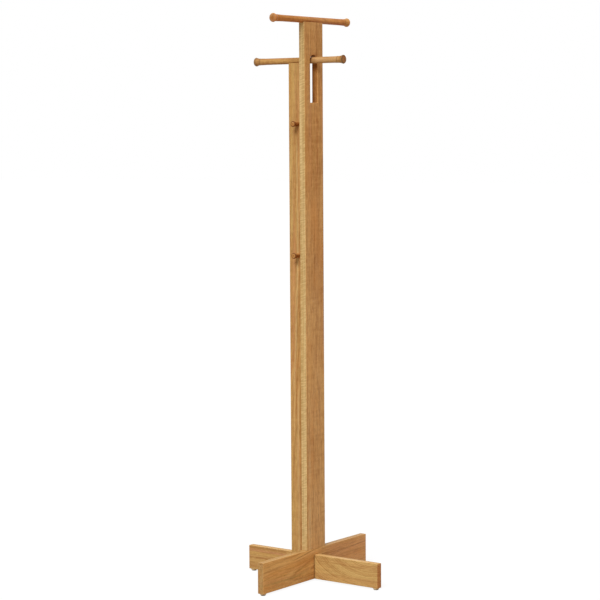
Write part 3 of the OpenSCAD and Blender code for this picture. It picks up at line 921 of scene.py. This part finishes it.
short_oak = oak(
    "oak_short_plank", "Z", "X", (0, SHORT_MID_Y, PLANKS_Z),
    ((204, 166, 98), (192, 146, 84), (195, 138, 90), (150, 104, 53)),
    seed=4.1, pith=(90, -20), slope=0.015, streaks=0.6, blush=0.7, flecks=0.3, fine=0.45, wear=0.4,
    figure=0.1, mottle=0.25, clouds=0.2, bend=((-300, 20), (-30, 7), (220, 0)),
    marks=(
        Mark(14, 5, ROSE, 0.5, -200, 260),
        Mark(2.5, 4, (212, 178, 120), 0.85, -220, 520, 30),
        Mark(9.5, 2.5, (166, 110, 56), 0.6, -160, 400, 30),
        Mark(-8, 4, (158, 102, 52), 0.7, -320, 300, 30),
        Mark(-15.5, 4.5, (212, 176, 118), 0.75, -900, -220, 30),
        Mark(-26, 5, (158, 102, 50), 0.7, -900, -200, 30),
        Mark(2, 5, (176, 122, 66), 0.5, -520, -240, 30),
        Mark(-1, 4, (226, 186, 122), 0.5, -360, -200, 30),
        Mark(-0.5, 4.5, (158, 102, 52), 0.35, 325, 410, 25),
        Mark(-4.5, 3, (158, 102, 52), 0.5, 20, 150, 20),
        Mark(-23, 4, (150, 96, 46), 0.6, -330, -215, 15),
        Mark(24, 6, (206, 174, 108), 0.7, 240, 500, 30),
        Mark(26, 4, (190, 138, 78), 0.5, 520, 800, 30),
    ),
)
upper_oak = oak(
    "oak_upper_bar", "X", "Z", (0, 0, UPPER_BAR_Z),
    ((220, 156, 83), (202, 129, 61), (206, 126, 66), (159, 92, 38)),
    seed=7.7, pith=(60, 10), streaks=0.75, blush=0.5, flecks=0.2, end_tint=(0.75, 0.87, 1.37),
    rims=(Rim(7, 3, (160, 100, 40), 0.8),),
    line_at=Line((UPPER_LEN / 2 - GROOVE_AT) / MM, 1.3, 0.75),
    marks=(
        Mark(0, 60, (230, 186, 118), 0.65, 162, 900, 8),
        Mark(0, 60, (192, 135, 102), 0.5, -20, 80, 30),
        Mark(0, 60, (188, 99, 41), 0.65, 84, 164, 10),
        # painted highlight along the bar's front
        Mark(-9, 3, (226, 168, 104), 0.25, 20, 150, 20),
        Mark(-6.5, 1.6, (130, 74, 34), 0.45, -150, 150, 20),
    ),
)
lower_oak = oak(
    "oak_lower_bar", "Y", "Z", (0, SHORT_MID_Y, LOWER_BAR_Z),
    ((199, 157, 92), (184, 131, 73), (188, 124, 76), (145, 91, 43)),
    seed=9.2, pith=(50, -10), streaks=0.75, blush=0.7, flecks=0.25, end_tint=(0.77, 0.63, 0.7),
    rims=(Rim(9.5, 12, (100, 80, 56), 0.95),),
    line_at=Line((LOWER_LEN / 2 - GROOVE_AT) / MM, 1.3, 0.75),
    marks=(
        Mark(0, 60, (202, 166, 118), 0.4, -150, -20, 12),
        Mark(-8, 4, (216, 174, 128), 0.5, -145, -65, 14),
        Mark(0, 60, (172, 128, 82), 0.65, 138, 900, 8),
    ),
)
high_oak = oak(
    "oak_high_board", "X", "Y", (0, 0, HIGH_BOARD_Z),
    ((225, 175, 107), (210, 155, 87), (213, 151, 93), (157, 101, 50)),
    seed=5.5, pith=(50, -20), slope=-0.05, streaks=0.65, blush=0.55, rings=0.32, wear=0.4,
    end_tint=(0.66, 0.71, 0.78), side=Side((199, 160, 103), 0.8, 46, 0.3, 0.3),
    figure=0.05, mottle=0.15, bend=((-130, 0), (10, 15)),
    marks=(
        Mark(43, 3, UMBER, 0.7, -170, 20, 20),
        Mark(31, 2.5, UMBER, 0.8, -120, 20, 20),
        Mark(25, 2.5, (232, 176, 112), 0.6, -110, 20, 20),
        Mark(10, 14, (196, 126, 62), 0.4, -120, 0, 40),
        Mark(-20, 5, OLIVE, 0.5, -250, -60, 40),
        Mark(0, 90, (232, 164, 112), 0.5, 60, 900, 40),
    ),
    # painted shade in the corners where the low board meets this one
    line_at=Line(12.4, 2.6, 0.6, 28),
)
low_oak = oak(
    "oak_low_board", "Y", "X", (0, 0, LOW_BOARD_Z),
    ((210, 174, 108), (194, 153, 92), (196, 146, 92), (152, 105, 55)),
    seed=3.2, pith=(104, 60), slope=0.47, lean_to=0.01, streaks=0.6, blush=0.5, rings=0.7, wear=0.4,
    end_tint=(1.0, 0.7, 0.62), side=Side((238, 192, 128), 0.88, 36.75, 0.3, 0.3),
    figure=0.05, mottle=0.15, growth=460,
    marks=(
        Mark(0, 90, (170, 122, 69), 0.6, 60, 900, 40),
        Mark(33, 3, (150, 96, 50), 0.4, 30, 900, 30),
        Mark(26, 6, (192, 134, 94), 0.7, 30, 900, 30),
        Mark(16, 6, (208, 167, 98), 0.75, 30, 900, 30),
        Mark(6, 4, (160, 98, 56), 0.75, 30, 900, 30),
        Mark(-7, 7, (212, 172, 106), 0.7, 30, 900, 30),
    ),
    # painted shade in the corners where this board meets the high board
    line_at=Line(11.4, 2.2, 0.7),
)
# The pegs' dark tones are painted shade on their shafts; the pale mark along their tops is painted
# light
PEG_SHADED_TONES = ((194, 136, 74), (171, 106, 47), (171, 104, 49), (119, 66, 21))


def peg_oak(name, z, seed):
    return oak(
        name, "X", "Y", (0, SHORT_MID_Y, z), PEG_SHADED_TONES, seed=seed, pith=(30, 0), slope=0.02,
        # pale mark along the peg's top: painted light
        flecks=0.2, end_tint=(1.08, 1.2, 1.35), marks=(Mark(6.5, 4, (214, 162, 100), 0.8),),
        rims=(Rim(5.4, 7.2, (120, 70, 30), 0.95), Rim(3.2, 1.0, UMBER, 0.5)),
    )


cream = speckled("moulded_cream", (222, 200, 160), (204, 180, 138), 0.45, 900, 0.1 * MM)
dark_pad = speckled(
    "felt_pad", (120, 100, 66), (84, 68, 42), 0.9, 2600, 0.3 * MM, strength=0.8,
)
zinc = speckled(
    "zinc_plate", (196, 198, 202), (168, 170, 174), 0.32, 1500, 0.05 * MM, Metallic=1.0,
)
beech = speckled("dowel_beech", (222, 190, 144), (200, 164, 116), 0.6, 900, 0.2 * MM)

# Planks
tall = board_bm(
    TALL_HIGH[2] - TALL_LOW[2], TALL_W, BOARD_T, at(0, 0, (TALL_LOW[2] + TALL_HIGH[2]) / 2),
)
tall_cuts = [slot_cutter(), bar_seat(at(0, 0, UPPER_BAR_Z, ALONG_X))]
tall_cuts += dowel_holes_down(UPPER_DOWELS, UPPER_BAR_Z) + insert_holes(TALL_BOLTS, HIGH_HIGH[2])
tall_cuts += rib_holes(BOARD_T / 2 - DOWEL_IN - END_GAP, BOARD_T / 2 + PAST)
place("tall_plank_oak", cut(tall, tall_cuts), tall_oak, "oak_brown", "tall_plank")

short = board_bm(
    SHORT_HIGH[2] - SHORT_LOW[2], BOARD_T, SHORT_W,
    at(0, SHORT_MID_Y, (SHORT_LOW[2] + SHORT_HIGH[2]) / 2),
)
short_cuts = [bar_seat(at(0, SHORT_MID_Y, LOWER_BAR_Z, ALONG_Y))]
short_cuts += dowel_holes_down(LOWER_DOWELS, LOWER_BAR_Z) + insert_holes(SHORT_BOLTS, LOW_HIGH[2])
short_cuts += rib_holes(BOARD_T / 2 - PAST, BOARD_T / 2 + DOWEL_LEN - DOWEL_IN + END_GAP)
short_cuts += [
    rod_bm(TENON_R + FIT, -PAST, TENON_LEN + END_GAP, at(-BOARD_T / 2, SHORT_MID_Y, z, ALONG_X))
    for z in PEG_ZS
]
place("short_plank_oak", cut(short, short_cuts), short_oak, "oak_mid", "short_plank")

# Bars and pegs
upper = lathe_bm(bar_profile(UPPER_LEN), at(0, 0, UPPER_BAR_Z, ALONG_X))
upper = cut(upper, bar_dowel_holes(UPPER_DOWELS, UPPER_BAR_Z))
place("upper_bar_oak", upper, upper_oak, "oak_red", "upper_bar")
lower = lathe_bm(bar_profile(LOWER_LEN), at(0, SHORT_MID_Y, LOWER_BAR_Z, ALONG_Y))
lower = cut(lower, bar_dowel_holes(LOWER_DOWELS, LOWER_BAR_Z))
place("lower_bar_oak", lower, lower_oak, "oak_mid", "lower_bar")

PEG_PROFILE = peg_profile()
for peg, z, seed in zip(("upper_peg", "lower_peg"), PEG_ZS, (2.4, 6.1)):
    bm = lathe_bm(PEG_PROFILE, at(-BOARD_T / 2, SHORT_MID_Y, z, ALONG_MINUS_X), steps=64)
    place(peg + "_oak", bm, peg_oak("oak_" + peg, z, seed), "oak_mid", peg)

# Base boards
high = board_bm(
    HIGH_HIGH[0] - HIGH_LOW[0], HIGH_HIGH[2] - HIGH_LOW[2], BOARD_T,
    at(0, 0, (HIGH_LOW[2] + HIGH_HIGH[2]) / 2, ALONG_X),
)
high_cuts = [box_bm((-LAP_HALF, -LAP_REACH, 0), (LAP_HALF, LAP_REACH, LAP_Z))]
high_cuts += bolt_holes(TALL_BOLTS, HIGH_HIGH[2]) + foot_screw_holes(HIGH_FEET)
high_cuts += holes([(0, 0)], LAP_SCREW_R + FIT, LAP_Z - PAST, BASE_Z + LAP_SCREW_LEN + END_GAP)
place("high_board_oak", cut(high, high_cuts), high_oak, "oak_brown", "high_base_board")

low = board_bm(
    LOW_HIGH[1] - LOW_LOW[1], BOARD_T, LOW_HIGH[2] - LOW_LOW[2],
    at(0, 0, (LOW_LOW[2] + LOW_HIGH[2]) / 2, ALONG_Y),
)
low_cuts = [box_bm((-LAP_REACH, -LAP_HALF, LAP_Z), (LAP_REACH, LAP_HALF, LAP_TOP))]
low_cuts += bolt_holes(SHORT_BOLTS, LOW_HIGH[2]) + foot_screw_holes(LOW_FEET)
sink_r = LAP_SCREW_HEAD_R + FIT
low_cuts += [lathe_bm(
    [(0, -PAST), (sink_r, -PAST), (sink_r, 0), (LAP_SCREW_R + FIT, LAP_SCREW_HEAD_H),
     (LAP_SCREW_R + FIT, LOW_HIGH[2]), (0, LOW_HIGH[2])],
    at(0, 0, BASE_Z), steps=48,
)]
place("low_board_oak", cut(low, low_cuts), low_oak, "oak_light", "low_base_board")


# Feet and fasteners
def cup_profile():
    """Outline of a cup: rounded lip, a fine moulding line, pad recess, countersunk hole."""
    slope = (CUP_R - CUP_LOW_R) / (BASE_Z - PAD_OUT)
    outer = [
        (CUP_LOW_R - CUP_LIP + CUP_LIP * math.sin(a), PAD_OUT + CUP_LIP * (1 - math.cos(a)))
        for a in arc(6, 0, 90)
    ]
    for off, dip in CUP_SEAM:
        z = PAD_OUT + CUP_SEAM_AT + off * MM
        outer.append((CUP_LOW_R + slope * (z - PAD_OUT) - dip * MM, z))
    outer += [(CUP_R - CUP_TOP_EDGE, BASE_Z - CUP_TOP_EDGE), (CUP_R - CUP_TOP_IN, BASE_Z)]
    inner = [
        (FOOT_SCREW_R + FIT, BASE_Z), (FOOT_SCREW_HEAD_R + FIT, PAD_TOP), (PAD_R + FIT, PAD_TOP),
        (PAD_R + FIT, PAD_OUT + CUP_CHAMFER), (PAD_R + FIT + CUP_CHAMFER, PAD_OUT),
    ]
    return outer + inner


def pad_profile():
    """Outline of a pad: rounded edges and a sole that is worn slightly hollow."""
    sole = [(PAD_R * k, PAD_HOLLOW * (1 - k ** 2)) for k in (0, 0.25, 0.5, 0.7)]
    rim = [
        (PAD_R - PAD_EDGE + PAD_EDGE * math.sin(a), PAD_EDGE * (1 - math.cos(a)))
        for a in arc(6, 0, 90)
    ]
    top = [(PAD_R, PAD_TOP - PAD_CHAMFER), (PAD_R - PAD_CHAMFER, PAD_TOP), (0, PAD_TOP)]
    return sole + rim + top


for spot, (x, y) in zip(("left", "right", "front", "back"), HIGH_FEET + LOW_FEET):
    cup = hoop_bm(cup_profile(), at(x, y, 0))
    place(spot + "_foot_cup", cup, cream, "cup_cream", spot + "_foot")
    pad = lathe_bm(pad_profile(), at(x, y, 0), steps=64)
    place(spot + "_foot_felt", pad, dark_pad, "pad_dark", spot + "_foot_pad")


def wood_screw(r, head_r, head_h, length, matrix):
    """Countersunk screw along local Z with a cross recess, thread ridges and a point."""
    low, high = head_h + SCREW_PLAIN * length, length - SCREW_POINT * r
    profile = [
        (0, 0), (head_r - SCREW_EDGE_IN, 0), (head_r, SCREW_EDGE_UP), (SCREW_NECK * r, head_h),
    ]
    profile += threads(r, (1 - SCREW_CORE) * r, low, high, SCREW_PITCH * r)
    profile += [(SCREW_CORE * r, high), (SCREW_TIP * r, length - SCREW_BLUNT), (0, length)]
    screw = lathe_bm(profile, steps=32)
    arm, wide, deep = CROSS_ARM * head_r, CROSS_WIDE * head_r, CROSS_DEEP * head_h
    cross = [
        box_bm((-x, -y, -PAST), (x, y, deep)) for x, y in ((arm, wide), (wide, arm))
    ]
    screw = cut(screw, cross)
    bmesh.ops.transform(screw, matrix=matrix, verts=screw.verts)
    return screw


def base_bolt(matrix):
    """Socket head bolt that points up local Z, its head's bearing face at the origin."""
    low = -BOLT_HEAD_H
    profile = [
        (0, low), (BOLT_HEAD_R - BOLT_HEAD_CHAMFER, low), (BOLT_HEAD_R, low + BOLT_HEAD_CHAMFER),
        (BOLT_HEAD_R, 0), (BOLT_R, 0),
    ]
    profile += threads(
        BOLT_R, BOLT_THREAD_DEPTH, BOLT_LEN - BOLT_THREAD_LEN, BOLT_LEN - BOLT_PITCH, BOLT_PITCH
    )
    profile += [(BOLT_R - BOLT_TIP_CHAMFER, BOLT_LEN), (0, BOLT_LEN)]
    bolt = lathe_bm(profile, steps=48)
    socket_r = SOCKET_W / 2 / math.cos(math.radians(30))
    deep = low + SOCKET_DEPTH
    hexagon = [(0, low - PAST), (socket_r, low - PAST), (socket_r, deep), (0, deep + SOCKET_CONE)]
    bolt = cut(bolt, [lathe_bm(hexagon, steps=6)])
    bmesh.ops.transform(bolt, matrix=matrix, verts=bolt.verts)
    return bolt


def washer_profile(z):
    """Outline of a washer under the height z, with its outer edges broken."""
    low, edge_r = z - WASHER_T, WASHER_R - WASHER_EDGE
    return [
        (BOLT_R + FIT, low), (edge_r, low), (WASHER_R, low + WASHER_EDGE),
        (WASHER_R, z - WASHER_EDGE), (edge_r, z), (BOLT_R + FIT, z),
    ]


def insert_profile(z):
    """Outline of a threaded insert above the height z."""
    plain = INSERT_R - INSERT_RIDGE
    outline = [(BOLT_R + FIT, 0), (plain, 0)]
    outline += threads(
        INSERT_R, INSERT_RIDGE, INSERT_PLAIN, INSERT_LEN - INSERT_PLAIN, INSERT_PITCH
    )
    outline += [(plain, INSERT_LEN), (BOLT_R + FIT, INSERT_LEN)]
    return [(r, z + h) for r, h in outline]


def dowel(matrix):
    """Fluted dowel along local Z from the origin, with chamfered ends."""
    end_r, high = DOWEL_R - DOWEL_CHAMFER, DOWEL_LEN - DOWEL_CHAMFER
    profile = [
        (0, 0), (end_r, 0), (DOWEL_R, DOWEL_CHAMFER), (DOWEL_R, high), (end_r, DOWEL_LEN),
        (0, DOWEL_LEN),
    ]
    return lathe_bm(profile, matrix, flute=FLUTE_DEPTH, flutes=FLUTES)


def place_steel(node, parts):
    """Steel fasteners of one kind as one piece."""
    place(node + "_steel", joined(parts), zinc, "steel", node)


bolted = [(x, y, HIGH_HIGH[2]) for x, y in TALL_BOLTS]
bolted += [(x, y, LOW_HIGH[2]) for x, y in SHORT_BOLTS]
place_steel("base_bolts", [base_bolt(at(x, y, z - BOLT_GRIP - WASHER_T)) for x, y, z in bolted])
place_steel("base_washers", [
    hoop_bm(washer_profile(z - BOLT_GRIP), at(x, y, 0)) for x, y, z in bolted
])
place_steel("base_inserts", [
    hoop_bm(insert_profile(z), at(x, y, 0), steps=48) for x, y, z in bolted
])
foot_screw = FOOT_SCREW_R, FOOT_SCREW_HEAD_R, BASE_Z - PAD_TOP, FOOT_SCREW_TOP - PAD_TOP
place_steel("foot_screws", [
    wood_screw(*foot_screw, at(x, y, PAD_TOP)) for x, y in HIGH_FEET + LOW_FEET
])
place_steel("lap_screw", [wood_screw(
    LAP_SCREW_R, LAP_SCREW_HEAD_R, LAP_SCREW_HEAD_H, LAP_SCREW_LEN, at(0, 0, BASE_Z)
)])

for node, places, bar_z in (
    ("upper_bar_dowels", UPPER_DOWELS, UPPER_BAR_Z), ("lower_bar_dowels", LOWER_DOWELS, LOWER_BAR_Z)
):
    start = bar_z - BAR_R + DOWEL_IN - DOWEL_LEN
    dowels = joined([dowel(at(x, y, start)) for x, y in places])
    place(node + "_beech", dowels, beech, "dowel_wood", node)
place("rib_dowels_beech", joined([
    dowel(at(0, BOARD_T / 2 - DOWEL_IN, z, ALONG_Y)) for z in RIB_ZS
]), beech, "dowel_wood", "rib_dowels")


# Setting
def seen_directly(tree):
    """1 for camera, mirror-like and see-through rays."""
    path = tree.nodes.new("ShaderNodeLightPath")
    total = path.outputs["Is Camera Ray"]
    for ray in ("Is Glossy Ray", "Is Transmission Ray"):
        either = tree.nodes.new("ShaderNodeMath")
        either.operation = "MAXIMUM"
        tree.links.new(total, either.inputs[0])
        tree.links.new(path.outputs[ray], either.inputs[1])
        total = either.outputs[0]
    return total


AMBIENT = 0.48
AMBIENT_TINT = (1, 0.88, 0.76, 1)
WHITE = (1, 1, 1, 1)
world = bpy.data.worlds.new("studio")
bpy.context.scene.world = world
world.use_nodes = True
tree = world.node_tree
tree.nodes.clear()
blend = tree.nodes.new("ShaderNodeMixShader")
tree.links.new(seen_directly(tree), blend.inputs[0])
for socket, tint, strength in (
    (blend.inputs[1], AMBIENT_TINT, AMBIENT), (blend.inputs[2], WHITE, 1)
):
    sky = tree.nodes.new("ShaderNodeBackground")
    sky.inputs["Color"].default_value = tint
    sky.inputs["Strength"].default_value = strength
    tree.links.new(sky.outputs[0], socket)
tree.links.new(blend.outputs[0], tree.nodes.new("ShaderNodeOutputWorld").inputs[0])

FLOOR_TONE = (0.55, 0.49, 0.42, 1)
FLOOR_SHADOW = 0.1
FLOOR_GLOW = 0.925
net = Net("floor_white")
plain = net.node("ShaderNodeBsdfDiffuse")
plain.inputs["Color"].default_value = FLOOR_TONE
shadowed = net.node("ShaderNodeBsdfDiffuse")
shadowed.inputs["Color"].default_value = (FLOOR_SHADOW, FLOOR_SHADOW, FLOOR_SHADOW, 1)
glow = net.node("ShaderNodeEmission")
glow.inputs["Strength"].default_value = FLOOR_GLOW
bright = net.node("ShaderNodeAddShader")
floor_mix = net.node("ShaderNodeMixShader")
for source, socket in (
    (glow.outputs[0], bright.inputs[0]), (shadowed.outputs[0], bright.inputs[1]),
    (seen_directly(net.tree), floor_mix.inputs[0]), (plain.outputs[0], floor_mix.inputs[1]),
    (bright.outputs[0], floor_mix.inputs[2]), (floor_mix.outputs[0], net.out.inputs["Surface"]),
):
    net.tree.links.new(source, socket)
FLOOR_HALF = 40
floor_me = bpy.data.meshes.new("floor")
corners = [(x * FLOOR_HALF, y * FLOOR_HALF, 0) for x, y in ((-1, -1), (1, -1), (1, 1), (-1, 1))]
floor_me.from_pydata(corners, [], [(0, 1, 2, 3)])
floor_me.materials.append(net.mat)
floor = linked("floor", floor_me)

KEY_FROM = Vector((-0.7, -0.2, 0.68))
KEY_SPREAD = 28
KEY_STRENGTH = 2.3
KEY_TINT = (1, 1.08, 1.17)
key_data = bpy.data.lights.new("key", "SUN")
key_data.color = KEY_TINT
key_data.angle = math.radians(KEY_SPREAD)
key_data.energy = KEY_STRENGTH
key = linked("key", key_data)
key.rotation_euler = (-KEY_FROM).to_track_quat("-Z", "Y").to_euler()

# Camera
YAW = math.radians(53.3138)
PITCH = math.radians(4.8041)
ROLL = math.radians(-0.3455)
CAMERA_AT = Vector((-4.73857, -3.48456, 1.34401))
LENS = 118.421
SENSOR = 36
CLIP_END = 200
ahead = Vector((math.sin(YAW) * math.cos(PITCH), math.cos(YAW) * math.cos(PITCH), -math.sin(PITCH)))
level = Vector((math.cos(YAW), -math.sin(YAW), 0))
upright = level.cross(ahead)
right = math.cos(ROLL) * level + math.sin(ROLL) * upright
up = -math.sin(ROLL) * level + math.cos(ROLL) * upright
camera_data = bpy.data.cameras.new("camera")
camera_data.sensor_width = SENSOR
camera_data.lens = LENS
camera_data.clip_end = CLIP_END
camera = linked("camera", camera_data)
turned = Matrix((right, up, -ahead)).transposed().to_4x4()
camera.matrix_world = Matrix.Translation(CAMERA_AT) @ turned
bpy.context.scene.camera = camera

bpy.context.scene.view_settings.view_transform = "Standard"
